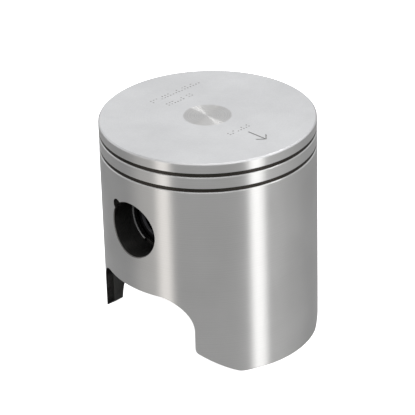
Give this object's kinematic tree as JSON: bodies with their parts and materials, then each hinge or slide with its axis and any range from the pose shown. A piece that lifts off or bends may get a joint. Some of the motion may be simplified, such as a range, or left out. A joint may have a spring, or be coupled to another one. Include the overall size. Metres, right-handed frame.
{
  "type": "two-stroke piston",
  "caption": "Two-stroke motorcycle piston with side cutaways and an intake arch, pegged rings in its grooves, and a hollow wrist pin held by wire circlips.",
  "frame": {"origin": "on the piston's axis, level with the lower end of the exhaust skirt", "axes": "+Z along the piston's axis towards the crown, Y along the wrist pin, +X towards the exhaust skirt, -X towards the intake skirt with the arch"},
  "size_m": [0.068, 0.068, 0.073],
  "materials": {
    "piston_aluminium": "fine turned",
    "ring_iron": "phosphated",
    "peg_brass": "plain",
    "pin_steel": "black carbon coated, ground",
    "clip_steel": "drawn wire"
  },
  "bodies": {
    "piston": {"piston_body": "piston_aluminium", "top_ring_peg": "peg_brass", "second_ring_peg": "peg_brass", "right_circlip": "clip_steel", "left_circlip": "clip_steel"},
    "top_ring": {"top_ring": "ring_iron"},
    "second_ring": {"second_ring": "ring_iron"},
    "wrist_pin": {"wrist_pin": "pin_steel"}
  },
  "joints": [
    {"name": "wrist_pin_turn", "type": "hinge", "parent": "piston", "child": "wrist_pin", "pos_m": [0, 0, 0.046], "axis": [0, 1, 0], "continuous": true},
    {"name": "top_ring_creep", "type": "hinge", "parent": "piston", "child": "top_ring", "pos_m": [0, 0, 0.06908], "axis": [0, 0, 1], "range_deg": [-0.4, 0.4]},
    {"name": "second_ring_creep", "type": "hinge", "parent": "piston", "child": "second_ring", "pos_m": [0, 0, 0.06404], "axis": [0, 0, 1], "range_deg": [-0.4, 0.4]}
  ]
}
